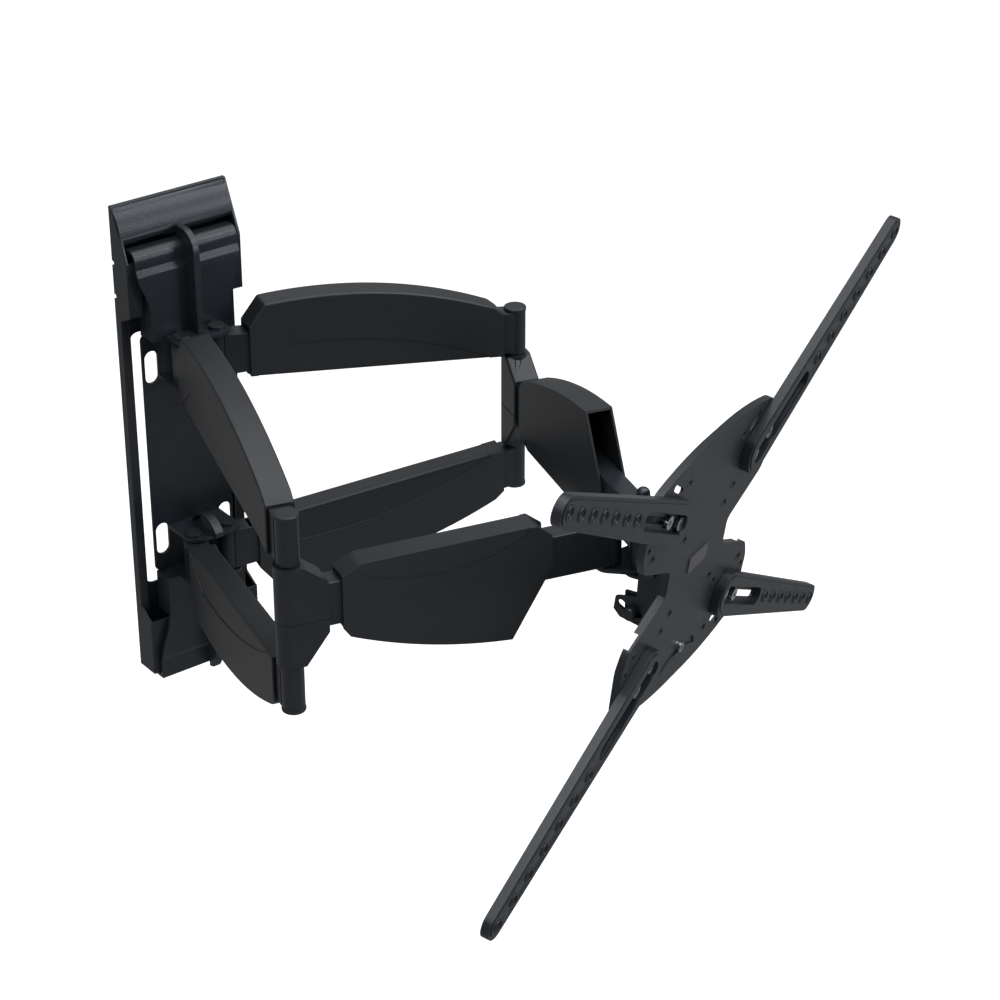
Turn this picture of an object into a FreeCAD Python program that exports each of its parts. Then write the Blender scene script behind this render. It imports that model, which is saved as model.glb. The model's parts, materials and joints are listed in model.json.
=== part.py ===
import FreeCAD, Part
import math
import os
from FreeCAD import Vector

# Full-motion TV wall mount with two folding arms, drawn partly unfolded.
# Units are millimetres. X is to the right seen from the room, Z is up, and the
# room is at -Y. The origin is the centre of the wall plate's back face.

# ---- driving dimensions -------------------------------------------------
PLATE_W = 118.0          # wall plate width
PLATE_H = 468.0          # wall plate height
PLATE_T = 2.5            # wall plate sheet
BOX_DEPTH = 25.4         # depth of the side flanges at the top and bottom boxes
RAIL_DEPTH = 9.0         # depth of the side flanges beside the window
WINDOW_W = 96.0
WINDOW_TOP = 108.0
WINDOW_BOTTOM = -150.0
HOOD_DROP = 48.0         # height of the slanted front edge of the side flanges at the top
RAIL_OUT = 16.5          # reach of the bulged hanging rail
RAIL_DROP = 29.0         # height of the bulge
SECURING_X = (-38.0, 38.0)             # screws that lock the carriage to the wall plate
SECURING_Y = -17.0
SECURING_R = 2.5
LAG_D = 8.0
LAG_Z = (165.0, -165.0)  # stud bolt holes on the centre line

ARM_Z = -12.0            # height of the arms' middle plane
PIVOT_HALF = 18.0        # half spacing of the wall pivots, and of the head pivots
PIVOT_OUT = 44.0         # wall pivots in front of the wall
ARM_LENGTH = 290.0       # pivot to pivot, rear arms and forearms alike
SIDE_ANGLE = 30.0        # direction of extension, to the right of straight out
FOLD_ANGLE = 45.3        # half opening angle between arm and forearm
HUB_R = 10.0
PIN_R = 5.0
BUSH_R = 6.8
PIN_FIT = 0.04           # radial running fit of pins in bushes
OPEN_FIT = 0.6           # radial play at the right head pivot, where the ring of arms closes
WALL_TUBE_LOW = 80.0     # rear tube at the wall pivot, from the middle plane
POST_TUBE_LOW = 50.0     # rear tube at the elbow
TUBE_H = 40.0
TUBE_W = 20.0
TUBE_T = 2.0
POST_HALF = 94.0         # elbow post half height
HOUSING_HALF = 46.6      # elbow housing half height
FORE_RISE = 6.0          # forearms and head above the rear arms' middle plane
PARTING_Z = -11.4        # parting line of the elbow housing, from the forearm's middle
CAP_H = 3.0
COVER_W = 26.0
COVER_T = 2.2
PANEL_DEPTH = 1.1        # sunk panel in each side of a cover
FLANGE_T = 0.6           # bush flange
SHEET = 3.0              # brackets

YOKE_AHEAD = 18.0        # swivel pin in front of the two head pivots
YOKE_T = 4.0
SWIVEL_ANGLE = 22.5      # head turned, as drawn
TILT_ANGLE = 8.7         # top leaning into the room, as drawn
TILT_AHEAD = 30.0        # tilt axle in front of the swivel pin
CLAMP_AHEAD = 14.0       # clamp bolt in front of and below the swivel pin
CLAMP_DROP = 46.0
TILT_DOWN = 15.0         # furthest lean of the television plate, top into the room
TILT_UP = 5.0            # furthest lean the other way
HEAD_HALF = 33.0         # half width of the swivel head
PLATE_AHEAD = 52.0       # plate back face in front of the swivel pin
PLATE_UP = 4.0
TV_T = 2.5               # television plate sheet
TV_W = 236.0
TV_H = 250.0
TV_LIP = 4.5
VESA_HALF = ((50.0, 50.0), (37.5, 37.5), (100.0, 50.0), (50.0, 100.0), (110.0, 63.0))
VESA_HOLE = 5.4

EXT_X = 300.0            # outermost hole, half of the widest pattern
EXT_Z = 200.0
EXT_ANGLE = 29.0
EXT_PITCH = 25.0
EXT_HOLES = 7
EXT_T = 2.5
EXT_DEPTH = 8.0
EXT_TIP_W = 27.0
EXT_ROOT_W = 42.0
EXT_LENGTH = 278.0       # tip hole to the inner end
SLOT_START = 168.0
SLOT_END = 268.0
SCREW_AT = (236.0, 262.0)
CLEAR = 0.35             # between bodies that slide or turn past each other

os.makedirs("parts", exist_ok=True)


# ---- helpers ------------------------------------------------------------
def box(x0, x1, y0, y1, z0, z1):
    return Part.makeBox(x1 - x0, y1 - y0, z1 - z0, Vector(x0, y0, z0))


def cyl(radius, start, end):
    start = Vector(*start)
    axis = Vector(*end) - start
    return Part.makeCylinder(radius, axis.Length, start, axis)


def upright(radius, x, y, z0, z1):
    return cyl(radius, (x, y, z0), (x, y, z1))


def prism(points, plane, low, high):
    """Extrude an outline. plane names its two axes; low and high are along the third."""
    third = ({"x", "y", "z"} - set(plane)).pop()
    corners = []
    for a, b in points:
        place = {plane[0]: a, plane[1]: b, third: low}
        corners.append(Vector(place["x"], place["y"], place["z"]))
    face = Part.Face(Part.makePolygon(corners + corners[:1]))
    along = {"x": Vector(1, 0, 0), "y": Vector(0, 1, 0), "z": Vector(0, 0, 1)}[third]
    return face.extrude(along * (high - low))


def arc_points(start, through, end, count=9):
    """Points on the circle through three points, from start to end."""
    arc = Part.Arc(Vector(*start, 0), Vector(*through, 0), Vector(*end, 0)).toShape()
    return [(p.x, p.y) for p in arc.discretize(count)]


def stadium(half_length, radius, low, high):
    """A slot shape along X, extruded along Y."""
    bar = box(-half_length, half_length, low, high, -radius, radius)
    ends = [cyl(radius, (s * half_length, low, 0), (s * half_length, high, 0)) for s in (-1, 1)]
    return bar.fuse(ends).removeSplitter()


def hexagon(across, start, end):
    """Hexagonal prism between two points."""
    start = Vector(*start)
    axis = Vector(*end) - start
    radius = across / math.sqrt(3.0)
    corners = [Vector(radius * math.cos(math.radians(60 * k)),
                      radius * math.sin(math.radians(60 * k)), 0) for k in range(7)]
    solid = Part.Face(Part.makePolygon(corners)).extrude(Vector(0, 0, axis.Length))
    turn = FreeCAD.Rotation(Vector(0, 0, 1), axis)
    solid.Placement = FreeCAD.Placement(start, turn)
    return solid


def fused(shapes):
    shapes = list(shapes)
    return shapes[0].fuse(shapes[1:]).removeSplitter() if len(shapes) > 1 else shapes[0]


def group(shapes):
    return Part.makeCompound(list(shapes))


def soften(shape, radius, keep):
    """Fillet the edges that keep() picks, and leave the shape as it is if none are."""
    edges = [e for e in shape.Edges if keep(e)]
    return shape.makeFillet(radius, edges) if edges else shape


def upright_edge(edge):
    a, b = edge.Vertexes[0].Point, edge.Vertexes[-1].Point
    return len(edge.Vertexes) == 2 and abs(a.x - b.x) < 1e-6 and abs(a.y - b.y) < 1e-6


def deep_edge(edge):
    a, b = edge.Vertexes[0].Point, edge.Vertexes[-1].Point
    return len(edge.Vertexes) == 2 and abs(a.x - b.x) < 1e-6 and abs(a.z - b.z) < 1e-6


def placed(shape, x=0.0, y=0.0, z=0.0, turn=0.0):
    """Turn about Z through the origin, then move."""
    out = shape.copy()
    out.rotate(Vector(0, 0, 0), Vector(0, 0, 1), turn)
    out.translate(Vector(x, y, z))
    return out


def save(name, shape):
    shape.exportStep("parts/" + name + ".step")


# ---- linkage: places and directions -------------------------------------
def heading(from_straight):
    """Turn about Z that points local X that many degrees right of straight out."""
    return from_straight - 90.0


HEAD_Z = ARM_Z + FORE_RISE
LEFT_ARM = SIDE_ANGLE - FOLD_ANGLE
RIGHT_ARM = SIDE_ANGLE + FOLD_ANGLE
WALL_PIVOT = {"left": (-PIVOT_HALF, -PIVOT_OUT), "right": (PIVOT_HALF, -PIVOT_OUT)}
ARM_DIR = {"left": LEFT_ARM, "right": RIGHT_ARM}
FOREARM_DIR = {"left": RIGHT_ARM, "right": LEFT_ARM}


def step_from(point, direction):
    angle = math.radians(direction)
    return (point[0] + ARM_LENGTH * math.sin(angle), point[1] - ARM_LENGTH * math.cos(angle))


ELBOW = {s: step_from(WALL_PIVOT[s], ARM_DIR[s]) for s in ("left", "right")}
HEAD_PIVOT = {s: step_from(ELBOW[s], FOREARM_DIR[s]) for s in ("left", "right")}
SWIVEL = (0.5 * (HEAD_PIVOT["left"][0] + HEAD_PIVOT["right"][0]),
          HEAD_PIVOT["left"][1] - YOKE_AHEAD)


# ---- wall plate ---------------------------------------------------------
def wall_plate():
    half_w, half_h = PLATE_W / 2, PLATE_H / 2
    slope_low = half_h - HOOD_DROP
    top_box_low = half_h - 100.0
    foot_top = -half_h + 56.0
    web = box(-half_w, half_w, -PLATE_T, 0, -half_h, half_h)
    window = box(-WINDOW_W / 2, WINDOW_W / 2, -50, 10, WINDOW_BOTTOM, WINDOW_TOP)
    web = web.cut(soften(window, 8.0, deep_edge))
    side = [(0, half_h), (-PLATE_T - 2, half_h), (-BOX_DEPTH, slope_low),
            (-BOX_DEPTH, top_box_low), (-RAIL_DEPTH, top_box_low - 8),
            (-RAIL_DEPTH, foot_top + 10), (-BOX_DEPTH, foot_top),
            (-BOX_DEPTH, -half_h), (0, -half_h)]
    flanges = [prism(side, "yz", x, x + PLATE_T) for x in (-half_w, half_w - PLATE_T)]
    # bulged hanging rail across the top, open underneath for the carriage's rolled edge
    outer = arc_points((-PLATE_T, half_h), (-11.0, half_h - 11.0), (-RAIL_OUT, half_h - RAIL_DROP))
    inner = [(min(y + PLATE_T, -1.0), z - 1.2) for y, z in reversed(outer)]
    outer = outer + [(-RAIL_OUT + 1.5, half_h - RAIL_DROP - 4), (-1.0, half_h - RAIL_DROP - 6)]
    inner = [(-1.0, half_h - RAIL_DROP - 3.8), (-RAIL_OUT + 3.5, half_h - RAIL_DROP - 2.2)] + inner
    rail = prism([(-1.0, half_h)] + outer + inner, "yz", -half_w + 1, half_w - 1)
    top = box(-half_w, half_w, -PLATE_T - 2, 0, half_h - PLATE_T, half_h)
    strips = []
    for s in (-1, 1):
        strips.append(box(s * (half_w - 4.5) - 4.5, s * (half_w - 4.5) + 4.5,
                          -RAIL_DEPTH, -RAIL_DEPTH + PLATE_T, foot_top, top_box_low - 4))
        # front returns of the top box, beside the carriage
        strips.append(box(s * (half_w - 7.2) - 7.2, s * (half_w - 7.2) + 7.2,
                          -BOX_DEPTH, -BOX_DEPTH + PLATE_T, top_box_low, slope_low))
    foot = box(-half_w, half_w, -BOX_DEPTH, -BOX_DEPTH + PLATE_T, -half_h, foot_top)
    floor = box(-half_w, half_w, -BOX_DEPTH, 0, -half_h, -half_h + PLATE_T)
    plate = fused([web, rail, top, foot, floor] + flanges + strips)
    for z in LAG_Z:
        plate = plate.cut(cyl(LAG_D / 2 + 0.3, (0, -PLATE_T - 1, z), (0, 1, z)))
    for x in SECURING_X:
        plate = plate.cut(upright(SECURING_R + 0.2, x, SECURING_Y, -half_h - 5, -half_h + 8))
    # small alignment notches in the side flanges
    for s in (-1, 1):
        for z in (slope_low - 6, top_box_low + 14):
            notch = cyl(2.5, (s * (half_w - 4), -1.5, z), (s * (half_w + 2), -1.5, z))
            plate = plate.cut(notch)
    return plate


# ---- carriage hung on the wall plate ------------------------------------
BACK_Y = -PLATE_T - RAIL_DEPTH         # back panel stands clear of the rails
FACE_Y = -33.0                         # front face of the carriage boxes
LUG_GAP = 1.0                          # bracket plate to hub face
TOP_LUG_Z = WALL_TUBE_LOW + TUBE_H + LUG_GAP
LOW_LUG_Z = WALL_TUBE_LOW - LUG_GAP - SHEET
LUG_HALF = 27.5
CARRIAGE_W = 86.0


def carriage_back():
    half = CARRIAGE_W / 2
    z_top, z_low = ARM_Z + TOP_LUG_Z, ARM_Z - TOP_LUG_Z
    panel = box(-half, half, BACK_Y - SHEET, BACK_Y, z_low, z_top)
    panel = soften(panel, 6.0, deep_edge)
    for side in (-1, 1):
        for z in (ARM_Z + LOW_LUG_Z + 12, ARM_Z - LOW_LUG_Z - 12):
            opening = stadium(9.0, 7.0, BACK_Y - 10, BACK_Y + 5)
            opening.rotate(Vector(0, 0, 0), Vector(0, 1, 0), 90)
            opening.translate(Vector(side * 34.0, 0, z))
            panel = panel.cut(opening)
    return panel


def carriage_side(z_near, z_jog):
    """Front outline of a box: waisted towards the arms, flaring to its jog."""
    narrow, wide = 41.5, 52.5
    third = (z_jog - z_near) / 3
    lower = arc_points((narrow, z_near + third), (narrow + 1.5, z_near + 1.7 * third),
                       (narrow + 6.0, z_near + 2.3 * third), 7)
    upper = arc_points((narrow + 6.0, z_near + 2.3 * third), (wide - 1.2, z_near + 2.75 * third),
                       (wide, z_jog), 5)
    right = [(narrow, z_near)] + lower + upper[1:]
    left = [(-x, z) for x, z in reversed(right)]
    return right + left


JOG = 3.0                              # step back of the faces at their outer ends
JOG_Y = FACE_Y + JOG
JOG_Z = {1: 174.0, -1: -214.0}
ROLL_TOP = 196.0                       # the rolled top edge hooks back under the rail
ROLL_BACK = -14.0
BOX_WIDE = 52.5
BOX_LOW = -PLATE_H / 2 - 4.5


def carriage_box(sign):
    """Pressed box with a waisted face, a jog near its outer end and a clevis lug."""
    near = ARM_Z + sign * TOP_LUG_Z
    jog = JOG_Z[sign]
    parts = [prism(carriage_side(near, jog), "xz", FACE_Y, FACE_Y + SHEET)]
    parts.append(prism([(FACE_Y, jog), (FACE_Y + SHEET, jog), (JOG_Y + SHEET, jog + sign * 6),
                        (JOG_Y, jog + sign * 6)], "yz", -BOX_WIDE, BOX_WIDE))
    z0, z1 = sorted((near, near + sign * SHEET))
    parts.append(box(-41.5, 41.5, FACE_Y, BACK_Y, z0, z1))
    c0, c1 = sorted((near, near + sign * 40.0))
    parts += [box(s * 40 - 1.5, s * 40 + 1.5, FACE_Y, BACK_Y, c0, c1) for s in (-1, 1)]
    front = -PIVOT_OUT - 13
    lug = box(-LUG_HALF, LUG_HALF, front, FACE_Y, z0, z1)
    parts.append(soften(lug, 10.0, lambda e: upright_edge(e) and e.Vertexes[0].Point.y < front + 1))
    if sign > 0:
        low = ROLL_TOP - 9
        parts.append(box(-BOX_WIDE, BOX_WIDE, JOG_Y, JOG_Y + SHEET, jog + 6, low))
        outer = arc_points((JOG_Y, low), (JOG_Y + 2.6, ROLL_TOP - 2.6), (JOG_Y + 9, ROLL_TOP))
        inner = arc_points((JOG_Y + 9, ROLL_TOP - SHEET), (JOG_Y + 4.8, ROLL_TOP - 4.8), (JOG_Y + SHEET, low))
        hook = outer + [(ROLL_BACK, ROLL_TOP), (ROLL_BACK, ROLL_TOP - SHEET)] + inner
        parts.append(prism(hook, "yz", -BOX_WIDE, BOX_WIDE))
    else:
        parts.append(box(-BOX_WIDE, BOX_WIDE, JOG_Y, JOG_Y + SHEET, BOX_LOW, jog - 6))
        parts.append(box(-BOX_WIDE, BOX_WIDE, JOG_Y, BACK_Y, BOX_LOW, BOX_LOW + SHEET))
    shape = fused(parts)
    for x in SECURING_X:
        shape = shape.cut(upright(SECURING_R + 0.2, x, SECURING_Y, BOX_LOW - 5, BOX_LOW + 5))
    return bored_for_pins(shape)


def bored_for_pins(shape):
    for x, y in WALL_PIVOT.values():
        shape = shape.cut(upright(PIN_R, x, y, -300, 300))
    return shape


def pivot_lug(z0):
    """Inner lug plate of a wall clevis, bent forward out of the back panel."""
    front = -PIVOT_OUT - 13
    plate = box(-LUG_HALF, LUG_HALF, front, BACK_Y - SHEET, z0, z0 + SHEET)
    plate = soften(plate, 11.0, lambda e: upright_edge(e) and e.Vertexes[0].Point.y < front + 1)
    return bored_for_pins(plate)


def carriage_fin():
    """Upright ribs on the centre line: one arches over the top box, one rounds off below."""
    half = 3.2
    front = FACE_Y - 14.0
    top, low = 208.0, -241.0
    start = ARM_Z + TOP_LUG_Z + SHEET
    crown = arc_points((front, top - 20), (front + 5.5, top - 6), (front + 20, top))
    upper = prism([(FACE_Y, start), (front, start)] + crown + [(-18, top), (-18, ROLL_TOP - 12),
                  (JOG_Y + SHEET, ROLL_TOP - 12), (JOG_Y + SHEET, JOG_Z[1]), (FACE_Y, JOG_Z[1])],
                  "yz", -half, half)
    upper = max(upper.cut(carriage_box(1)).Solids, key=lambda solid: solid.Volume)
    toe = arc_points((FACE_Y, low), (front + 4, low + 4), (front, low + 14))
    begin = ARM_Z - TOP_LUG_Z - SHEET
    lower = prism([(FACE_Y, begin)] + toe + [(front, begin)], "yz", -half, half)
    return group([upper, lower])


def wall_pins(sign):
    """Two clevis pins with a low head inside and a taller one outside."""
    pins = []
    inner, outer = LOW_LUG_Z - 2.5, TOP_LUG_Z + SHEET + 3.0
    for x, y in WALL_PIVOT.values():
        pin = fused([upright(PIN_R, x, y, inner, outer), upright(7.6, x, y, inner, inner + 2.5),
                     upright(7.6, x, y, outer - 3.0, outer)])
        pins.append(placed(pin if sign > 0 else flipped(pin), z=ARM_Z))
    return group(pins)


def securing_screws():
    """Two screws from below that lock the carriage to the foot of the wall plate."""
    screws = []
    for x in SECURING_X:
        shank = upright(SECURING_R, x, SECURING_Y, BOX_LOW - 0.1, BOX_LOW + 9)
        head = upright(5.0, x, SECURING_Y, BOX_LOW - 3.2, BOX_LOW)
        socket = hexagon(4.0, (x, SECURING_Y, BOX_LOW - 3.4), (x, SECURING_Y, BOX_LOW - 1.2))
        screws.append(fused([shank, head]).cut(socket))
    return group(screws)


def cable_clip():
    """Narrow strap that arches forward over the lower clevis between its pins."""
    z = ARM_Z - LOW_LUG_Z
    front = -PIVOT_OUT - 13
    outer = arc_points((-18.0, z), (-36.0, z + 13.0), (front - 3.0, z + 2.0), 13)
    inner = arc_points((front - 0.6, z + 1.0), (-36.0, z + 11.0), (-20.4, z), 13)
    hook = [(front - 3.0, z - 2.4), (front - 0.6, z - 2.4)]
    return prism(outer + hook + inner, "yz", -4.5, 4.5)


# ---- rear arms (local X runs from the wall pivot to the elbow) ----------
def tube_line(s):
    """Lower edge of a rear tube at distance s along the arm."""
    return WALL_TUBE_LOW + (POST_TUBE_LOW - WALL_TUBE_LOW) * s / ARM_LENGTH


def flipped(shape):
    return shape.mirror(Vector(0, 0, 0), Vector(0, 0, 1))


def rear_tube():
    s0, s1 = 4.0, ARM_LENGTH - 4.0
    edge = [(s0, tube_line(s0)), (s1, tube_line(s1)),
            (s1, tube_line(s1) + TUBE_H), (s0, tube_line(s0) + TUBE_H)]
    tube = prism(edge, "xz", -TUBE_W / 2, TUBE_W / 2)
    hollow = [(s0, edge[0][1] + TUBE_T), (s1, edge[1][1] + TUBE_T),
              (s1, edge[2][1] - TUBE_T), (s0, edge[3][1] - TUBE_T)]
    tube = tube.cut(prism(hollow, "xz", -TUBE_W / 2 + TUBE_T, TUBE_W / 2 - TUBE_T))
    hub_at = {0.0: WALL_TUBE_LOW, ARM_LENGTH: HOUSING_HALF + 1.4}
    top_at = {0.0: WALL_TUBE_LOW + TUBE_H, ARM_LENGTH: POST_HALF - CAP_H}
    hubs = [upright(HUB_R, s, 0, hub_at[s], top_at[s]) for s in hub_at]
    arm = fused([tube] + hubs)
    # nothing of the tube stands proud of the hub faces
    arm = arm.cut(box(-20, 24, -30, 30, WALL_TUBE_LOW + TUBE_H, 200))
    arm = arm.cut(box(-20, 24, -30, 30, 0, WALL_TUBE_LOW))
    for s in hub_at:
        arm = arm.cut(upright(BUSH_R, s, 0, 0, 200))
    return arm


def shell_from(outline, hollow, panel):
    """Open-ended cover: an outline less an inner outline, with a sunk panel in each side."""
    half = COVER_W / 2
    shell = prism(outline, "xz", -half, half)
    shell = shell.cut(prism(hollow, "xz", -half + COVER_T, half - COVER_T))
    sunk = half - PANEL_DEPTH
    return shell.cut([prism(panel, "xz", -half - 1, -sunk), prism(panel, "xz", sunk, half + 1)])


def rear_cover():
    """Sleeve over a rear tube with a bowed outer edge."""
    start, end = 26.5, ARM_LENGTH - 16.0
    wrap = COVER_T + 0.3
    top = arc_points((42.0, 144.0), (147.0, 138.0), (end - 8, 101.0), 25)
    outline = [(start, tube_line(start) - wrap), (start, 124.0)] + top
    outline += [(end, 94.0), (end, tube_line(end) - wrap)]
    lowered = [(s, z - COVER_T) for s, z in top]
    hollow = [(start - 5, tube_line(start - 5) - 0.3), (start - 5, 124.0 - COVER_T),
              (start + 1.5, 124.0 - COVER_T)]
    hollow += lowered + [(end - 0.5, 94.0 - COVER_T), (end + 5, 94.0 - COVER_T),
                         (end + 5, tube_line(end + 5) - 0.3)]
    edge = arc_points((64.0, tube_line(64) + 28), (165.0, tube_line(165) + 25),
                      (260.0, tube_line(260)), 19)
    panel = [(33.0, tube_line(33) - 9), (33.0, tube_line(33))] + edge + [(260.0, tube_line(260) - 9)]
    return shell_from(outline, hollow, panel)


def rear_bushes():
    """Flanged bushes in the two wall hubs of one side."""
    low, high = WALL_TUBE_LOW, WALL_TUBE_LOW + TUBE_H
    body = upright(BUSH_R, 0, 0, low - FLANGE_T, high + FLANGE_T)
    rims = [upright(HUB_R - 1, 0, 0, z, z + FLANGE_T) for z in (low - FLANGE_T, high)]
    bush = fused([body] + rims).cut(upright(PIN_R + PIN_FIT, 0, 0, 0, 200))
    return group([bush, flipped(bush)])


def elbow_pin():
    """Post pin, clamped in the arm's elbow hubs and turning in the housing."""
    body = upright(PIN_R, ARM_LENGTH, 0, -POST_HALF + CAP_H, POST_HALF - CAP_H)
    low, high = HOUSING_HALF + 1.4, POST_HALF - CAP_H
    sleeves = [upright(BUSH_R, ARM_LENGTH, 0, low, high), upright(BUSH_R, ARM_LENGTH, 0, -high, -low)]
    return fused([body] + sleeves)


def elbow_caps():
    caps = []
    for sign in (1, -1):
        disc = upright(HUB_R + 0.6, ARM_LENGTH, 0, POST_HALF - CAP_H, POST_HALF)
        disc = soften(disc, 1.2, lambda e: abs(e.Vertexes[0].Point.z - POST_HALF) < 0.01)
        caps.append(disc if sign > 0 else flipped(disc))
    return group(caps)


# ---- forearms (local X runs from the elbow to the head pivot) -----------
FORE_HALF = 20.5
HOUSING_REACH = 30.0


def elbow_housing(upper):
    """Half of the knuckle: a barrel round the post that tapers to the forearm tube."""
    half = COVER_W / 2
    top, low = HOUSING_HALF - FORE_RISE, -HOUSING_HALF - FORE_RISE
    barrel = upright(half, 0, 0, low, top)
    wedge = [(0, low), (9, low), (HOUSING_REACH, -FORE_HALF - 3.5), (HOUSING_REACH, FORE_HALF + 3.5),
             (9, top), (0, top)]
    body = fused([barrel, prism(wedge, "xz", -half, half)])
    body = body.cut(upright(BUSH_R, 0, 0, low - 1, top + 1))
    body = body.cut(box(BUSH_R + 4.5, 80, -TUBE_W / 2, TUBE_W / 2, -FORE_HALF, FORE_HALF))
    other_half = (low - 1, PARTING_Z) if upper else (PARTING_Z - 0.4, top + 1)
    return body.cut(box(-40, 80, -40, 40, *other_half))


def elbow_bushes():
    body = upright(BUSH_R, 0, 0, 12.0, HOUSING_HALF + FLANGE_T)
    rim = upright(HUB_R - 1, 0, 0, HOUSING_HALF, HOUSING_HALF + FLANGE_T)
    bush = fused([body, rim]).cut(upright(PIN_R + PIN_FIT, 0, 0, -1, 100))
    return group([bush, flipped(bush)])


def forearm_tube():
    start = BUSH_R + 5.0
    tube = box(start, ARM_LENGTH - 4, -TUBE_W / 2, TUBE_W / 2, -FORE_HALF, FORE_HALF)
    inner = box(start - 1, ARM_LENGTH, -TUBE_W / 2 + TUBE_T, TUBE_W / 2 - TUBE_T,
                -FORE_HALF + TUBE_T, FORE_HALF - TUBE_T)
    hub = upright(HUB_R, ARM_LENGTH, 0, -FORE_HALF, FORE_HALF)
    arm = fused([tube.cut(inner), hub])
    return arm.cut(upright(BUSH_R, ARM_LENGTH, 0, -100, 100))


def head_bush(fit):
    body = upright(BUSH_R, ARM_LENGTH, 0, -FORE_HALF - FLANGE_T, FORE_HALF + FLANGE_T)
    rims = [upright(HUB_R - 1, ARM_LENGTH, 0, z, z + FLANGE_T)
            for z in (-FORE_HALF - FLANGE_T, FORE_HALF)]
    return fused([body] + rims).cut(upright(PIN_R + fit, ARM_LENGTH, 0, -100, 100))


def forearm_cover():
    """Cover with a deep belly on one side and a slanted open end."""
    start, end = 42.0, 232.0
    belly = arc_points((48.0, -33.0), (125.0, -59.0), (194.0, -70.0), 21)
    outline = [(start, FORE_HALF + 5.0), (60.0, FORE_HALF + 13.0), (216.0, FORE_HALF + 15.0),
               (end - 2, FORE_HALF + 4.0), (end, -4.0)]
    outline += list(reversed(belly)) + [(start, -FORE_HALF - 4.0)]
    raised = [(s, z + COVER_T) for s, z in belly]
    top = FORE_HALF + 0.4
    hollow = [(start - 5, top + 2), (start + 2, top + 2.8), (60.5, FORE_HALF + 13.0 - COVER_T),
              (215.0, FORE_HALF + 15.0 - COVER_T), (end + 14, top), (end + 10, -10.0),
              (end - 30, -72.0 + COVER_T)]
    hollow += list(reversed(raised)) + [(start - 5, -FORE_HALF - 1.0)]
    panel = arc_points((58.0, FORE_HALF + 2), (130.0, FORE_HALF - 12), (205.0, FORE_HALF + 6), 21)
    panel = panel + [(214.0, FORE_HALF + 20), (50.0, FORE_HALF + 20)]
    return shell_from(outline, hollow, panel)


# ---- yoke that joins both forearms --------------------------------------
YOKE_GAP = 1.2


def yoke_plate(sign):
    z0 = FORE_HALF + YOKE_GAP
    discs = [upright(13.0, s * PIVOT_HALF, YOKE_AHEAD, z0, z0 + YOKE_T) for s in (-1, 1)]
    discs.append(upright(13.0, 0, 0, z0, z0 + YOKE_T))
    web = prism([(-PIVOT_HALF - 9.2, YOKE_AHEAD - 9.2), (-9.2, -9.2), (9.2, -9.2),
                 (PIVOT_HALF + 9.2, YOKE_AHEAD - 9.2), (PIVOT_HALF, YOKE_AHEAD + 13),
                 (-PIVOT_HALF, YOKE_AHEAD + 13)], "xy", z0, z0 + YOKE_T)
    plate = fused([web] + discs)
    for s in (-1, 1):
        plate = plate.cut(upright(PIN_R, s * PIVOT_HALF, YOKE_AHEAD, -100, 100))
    plate = plate.cut(upright(BUSH_R, 0, 0, -100, 100))
    return plate if sign > 0 else flipped(plate)


def yoke_barrel():
    """Sleeve round the swivel pin that spaces the two yoke plates."""
    z0 = FORE_HALF + YOKE_GAP + YOKE_T
    sleeve = upright(BUSH_R, 0, 0, -z0, z0)
    collar = upright(9.0, 0, 0, -FORE_HALF - YOKE_GAP, FORE_HALF + YOKE_GAP)
    return fused([sleeve, collar]).cut(upright(PIN_R + PIN_FIT, 0, 0, -100, 100))


def head_pivot_pin(s):
    top = FORE_HALF + YOKE_GAP + YOKE_T
    body = upright(PIN_R, s * PIVOT_HALF, YOKE_AHEAD, -top, top)
    foot = upright(7.0, s * PIVOT_HALF, YOKE_AHEAD, -top - 2.0, -top)
    return fused([body, foot])


def dome_caps():
    caps = []
    top = FORE_HALF + YOKE_GAP + YOKE_T
    for s in (-1, 1):
        skirt = upright(7.4, s * PIVOT_HALF, YOKE_AHEAD, top, top + 2.5)
        stem = upright(6.2, s * PIVOT_HALF, YOKE_AHEAD, top + 2.5, top + 8.0)
        dome = Part.makeSphere(6.2, Vector(s * PIVOT_HALF, YOKE_AHEAD, top + 8.0))
        dome = dome.common(upright(8.0, s * PIVOT_HALF, YOKE_AHEAD, top + 8.0, top + 20))
        caps.append(fused([skirt, stem, dome]))
    return group(caps)


# ---- swivel head (local -Y is the way the head faces) -------------------
LUG_TOP = FORE_HALF + YOKE_GAP + YOKE_T + 1.0


def swivel_bracket():
    """Front plate with two pin lugs and two side cheeks, bent from one sheet."""
    front = -18.0 - SHEET
    top = LUG_TOP + SHEET
    low = -CLAMP_DROP - 10.0
    plate = box(-HEAD_HALF, HEAD_HALF, front, -18.0, low, top)
    lugs = []
    for z0 in (LUG_TOP, -LUG_TOP - SHEET):
        neck = box(-12.5, 12.5, front, 0, z0, z0 + SHEET)
        lugs.append(neck.fuse(upright(12.5, 0, 0, z0, z0 + SHEET)))
    under = -LUG_TOP - 3.5
    outline = [(-4.0, under), (-4.0, low + 5), (-9.0, low), (-31.0, low),
               (-40.0, -10.0), (-36.0, 12.0), (front, 12.0), (front, under)]
    cheeks = [prism(outline, "yz", x, x + SHEET) for x in (-HEAD_HALF, HEAD_HALF - SHEET)]
    head = fused([plate] + lugs + cheeks)
    head = head.cut(upright(PIN_R, 0, 0, -100, 100))
    head = head.cut(cyl(4.0, (-60, -TILT_AHEAD, 0), (60, -TILT_AHEAD, 0)))
    return head.cut(cyl(3.0, (-60, -CLAMP_AHEAD, -CLAMP_DROP), (60, -CLAMP_AHEAD, -CLAMP_DROP)))


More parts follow.
